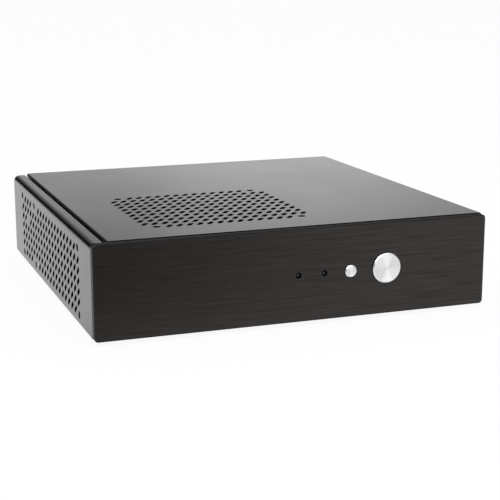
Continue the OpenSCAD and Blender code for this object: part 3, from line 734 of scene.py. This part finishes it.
def repeated(points, quads, places):
    """The same shape at every place, as one list of points and one of faces."""
    moved = points[None] + places[:, None]
    faces = quads[None] + (np.arange(len(places)) * len(points))[:, None, None]
    return moved.reshape(-1, 3), faces.reshape(-1, 4)


def pins_of(node_name, half_x, half_z, board_back):
    """Places of a part's pins on the back of the board: half_x to each side of
    its middle, and half_z up and down where that isn't zero."""
    low, high = (np.array(corner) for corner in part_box(node_name))
    x, _, z = (low + high) / 2
    rises = (-half_z, half_z) if half_z else (0,)
    return [(x + side * half_x, board_back, z + rise) for side in (-1, 1) for rise in rises]


board_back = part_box("front_board")[1][1]
joint_places = []
for name in ("power_switch", "reset_switch"):
    joint_places += pins_of(name, SWITCH_PIN_X, SWITCH_PIN_Z, board_back)
for name in ("power_led", "drive_led"):
    joint_places += pins_of(name, LIGHT_PIN_X, 0, board_back)
cone_points, cone_quads = turned_points(CONE, TURN_STEPS), turned_quads(len(CONE), TURN_STEPS)
joints = piece_from("solder_joints", *repeated(cone_points, cone_quads, np.array(joint_places)))
joints.data.polygons.foreach_set("use_smooth", np.ones(len(joints.data.polygons), dtype=bool))
joints.data.materials.append(finishes["solder"])
print("solder joints:", len(joint_places), "faces:", len(joints.data.polygons))

# %% [markdown]
# ## The floor, the room and the lights
# The photograph has no visible floor: everything round the case is white. So
# the floor shows white to the camera, and only a small part of it is real, lit
# paint, which is enough to hold a soft shadow under the case. Reflections see
# the same white, but a grey patch lies in front on the left, as if a dark card
# stood beside the camera. It was chosen because it makes the front plate fade
# from right to left, as in the photograph.

# %% The floor
FLOOR_HALF = 8.0
FLOOR_PAINT = (0.86, 0.86, 0.86, 1)
FLOOR_ROUGHNESS = 0.9
CAMERA_WHITE = 0.93
MIRROR_WHITE = 0.8
PATCH_MIDDLE = (-0.25, -0.45, 0.0)
PATCH_INNER = 0.24
PATCH_OUTER = 0.44
PATCH_GREY = 0.15
MIRROR_LEVEL = 1.06


def floor_mesh(half):
    """A flat square at z = 0 with its middle under the case."""
    corners = np.array([(-1, -1, 0), (1, -1, 0), (1, 1, 0), (-1, 1, 0)], dtype=float) * half
    mesh = bpy.data.meshes.new("floor")
    mesh.from_pydata(corners.tolist(), [], [(0, 1, 2, 3)])
    return mesh


def floor_material():
    """Pale paint, mixed with plain white by CAMERA_WHITE for camera rays and by
    MIRROR_WHITE for glossy and transmission rays. For these the white has
    MIRROR_LEVEL and falls to PATCH_GREY within PATCH_INNER of the patch's
    middle, smoothly from PATCH_OUTER on."""
    material = bpy.data.materials.new("pale floor")
    material.use_nodes = True
    tree = material.node_tree
    paint = tree.nodes["Principled BSDF"]
    paint.inputs["Base Color"].default_value = FLOOR_PAINT
    paint.inputs["Roughness"].default_value = FLOOR_ROUGHNESS
    paint.inputs["Specular IOR Level"].default_value = 0.0
    ray = add(tree, "ShaderNodeLightPath")
    mirrored = math_node(tree, "MAXIMUM", ray.outputs["Is Glossy Ray"], ray.outputs["Is Transmission Ray"])
    seen = math_node(tree, "MAXIMUM", math_node(tree, "MULTIPLY", ray.outputs["Is Camera Ray"], CAMERA_WHITE),
                     math_node(tree, "MULTIPLY", mirrored, MIRROR_WHITE))
    place = add(tree, "ShaderNodeTexCoord").outputs["Object"]
    away = add(tree, "ShaderNodeVectorMath", {1: PATCH_MIDDLE}, operation="DISTANCE")
    join(tree, place, away.inputs[0])
    patch = add(tree, "ShaderNodeMapRange", {"From Min": PATCH_INNER, "From Max": PATCH_OUTER,
                "To Min": PATCH_GREY, "To Max": MIRROR_LEVEL}, interpolation_type="SMOOTHSTEP")
    join(tree, away.outputs["Value"], patch.inputs["Value"])
    level = add(tree, "ShaderNodeMix", {"B": 1.0})
    join(tree, ray.outputs["Is Camera Ray"], level.inputs["Factor"])
    join(tree, patch.outputs["Result"], level.inputs["A"])
    white = add(tree, "ShaderNodeEmission", {"Color": (1, 1, 1, 1)})
    join(tree, level.outputs["Result"], white.inputs["Strength"])
    mix = add(tree, "ShaderNodeMixShader")
    join(tree, seen, mix.inputs[0])
    join(tree, paint.outputs[0], mix.inputs[1])
    join(tree, white.outputs[0], mix.inputs[2])
    join(tree, mix.outputs[0], tree.nodes["Material Output"].inputs["Surface"])
    return material


floor = bpy.data.objects.new("floor", floor_mesh(FLOOR_HALF))
scene.collection.objects.link(floor)
dress(floor, floor_material())
print("floor:", 2 * FLOOR_HALF, "m wide")

# %% [markdown]
# A black satin surface has hardly any colour of its own, so what makes it look
# right is the room that it mirrors. In the photograph the top goes from grey in
# front to pale at the back, and the big fold on the left is black. So the room
# below, a gradient over directions, is bright low down behind the case and dark
# on its left. It is also a little darker on the right and has one dim spot
# behind the case, for the parts of the top that are darker there. Its levels
# were chosen to match the photograph's tones. Camera rays see white.

# %% The room
DARK_SIDE = (-0.985, -0.174, -1.27)
DARK_START = -0.709
DARK_FULL = -0.219
DARK_LEVEL = 0.01
LIFT_START, LIFT_END = 0.45, 0.75
SPOT = (0.2347, 0.9415, 0.2419)
SPOT_INNER = 0.02
SPOT_OUTER = 0.09
SPOT_LEVEL = 0.50
RISE_STOPS = [(0.0, 1.45), (0.150, 1.45), (0.18, 1.10), (0.21, 0.83), (0.27, 0.45), (0.36, 0.34),
              (0.55, 0.45), (0.75, 1.25), (1.0, 1.25)]
RIGHT_START = 0.38
RIGHT_END = 0.52
RIGHT_LEVEL = 0.70


def ramp_node(tree, source, stops):
    """A grey colour ramp over pairs of place and level, which are halved so that
    levels up to two fit a colour, and doubled again behind the ramp."""
    ramp = add(tree, "ShaderNodeValToRGB")
    for _ in range(len(stops) - 2):
        ramp.color_ramp.elements.new(0.5)
    for element, (place, level) in zip(ramp.color_ramp.elements, stops):
        element.position = place
        element.color = (level / 2, level / 2, level / 2, 1)
    join(tree, source, ramp.inputs[0])
    return math_node(tree, "MULTIPLY", ramp.outputs[0], 2)


def make_room():
    """Level is the rise ramp at the height of the direction, times three fades.
    The side fade is one away from the dark side and DARK_LEVEL towards it, and
    goes back to one between the heights LIFT_START and LIFT_END. The right fade
    goes from one to RIGHT_LEVEL while the direction's X goes from RIGHT_START to
    RIGHT_END. The spot fade is SPOT_LEVEL near the direction SPOT, and one
    farther from it than SPOT_OUTER."""
    world = bpy.data.worlds.new("room")
    world.use_nodes = True
    tree = world.node_tree
    tree.nodes.clear()
    direction = add(tree, "ShaderNodeTexCoord").outputs["Generated"]
    axes = add(tree, "ShaderNodeSeparateXYZ")
    join(tree, direction, axes.inputs[0])
    rise = ramp_node(tree, axes.outputs["Z"], RISE_STOPS)
    toward = add(tree, "ShaderNodeVectorMath", {1: DARK_SIDE}, operation="DOT_PRODUCT")
    join(tree, direction, toward.inputs[0])
    side = add(tree, "ShaderNodeMapRange", {"From Min": DARK_FULL, "From Max": DARK_START,
               "To Min": DARK_LEVEL, "To Max": 1.0}, interpolation_type="SMOOTHSTEP")
    join(tree, toward.outputs["Value"], side.inputs["Value"])
    lift = add(tree, "ShaderNodeMapRange", {"From Min": LIFT_START, "From Max": LIFT_END})
    join(tree, axes.outputs["Z"], lift.inputs["Value"])
    fade = math_node(tree, "MAXIMUM", side.outputs["Result"], lift.outputs["Result"])
    right = add(tree, "ShaderNodeMapRange", {"From Min": RIGHT_START, "From Max": RIGHT_END,
                "To Min": 1.0, "To Max": RIGHT_LEVEL}, interpolation_type="SMOOTHSTEP")
    join(tree, axes.outputs["X"], right.inputs["Value"])
    away = add(tree, "ShaderNodeVectorMath", {1: SPOT}, operation="DISTANCE")
    join(tree, direction, away.inputs[0])
    spot = add(tree, "ShaderNodeMapRange", {"From Min": SPOT_INNER, "From Max": SPOT_OUTER,
               "To Min": SPOT_LEVEL, "To Max": 1.0}, interpolation_type="SMOOTHSTEP")
    join(tree, away.outputs["Value"], spot.inputs["Value"])
    fades = math_node(tree, "MULTIPLY", fade, right.outputs["Result"])
    fades = math_node(tree, "MULTIPLY", fades, spot.outputs["Result"])
    room = add(tree, "ShaderNodeBackground")
    join(tree, math_node(tree, "MULTIPLY", rise, fades), room.inputs["Color"])
    white = add(tree, "ShaderNodeBackground", {"Color": (1, 1, 1, 1), "Strength": 1.0})
    ray = add(tree, "ShaderNodeLightPath")
    mix = add(tree, "ShaderNodeMixShader")
    join(tree, ray.outputs["Is Camera Ray"], mix.inputs[0])
    join(tree, room.outputs[0], mix.inputs[1])
    join(tree, white.outputs[0], mix.inputs[2])
    join(tree, mix.outputs[0], add(tree, "ShaderNodeOutputWorld").inputs["Surface"])
    return world


scene.world = make_room()
print("room:", len(RISE_STOPS), "stops from the horizon up")

# %% [markdown]
# Two large soft lamps give the room some direction: one high over the left
# front shoulder, and a weaker one at the right.

# %% The lamps
LAMP_SIZE = 0.9
LAMP_TARGET = (0, 0, 0.03)
KEY_PLACE, KEY_POWER = (-0.8, -1.0, 1.5), 14
FILL_PLACE, FILL_POWER = (1.3, -0.9, 0.8), 5


def soft_lamp(name, place, power):
    """A square area lamp at a place, turned towards the case."""
    data = bpy.data.lights.new(name, "AREA")
    data.shape = "SQUARE"
    data.size = LAMP_SIZE
    data.energy = power
    lamp = bpy.data.objects.new(name, data)
    aim = Vector(LAMP_TARGET) - Vector(place)
    lamp.matrix_world = Matrix.Translation(place) @ aim.to_track_quat("-Z", "Y").to_matrix().to_4x4()
    scene.collection.objects.link(lamp)


soft_lamp("key lamp", KEY_PLACE, KEY_POWER)
soft_lamp("fill lamp", FILL_PLACE, FILL_POWER)
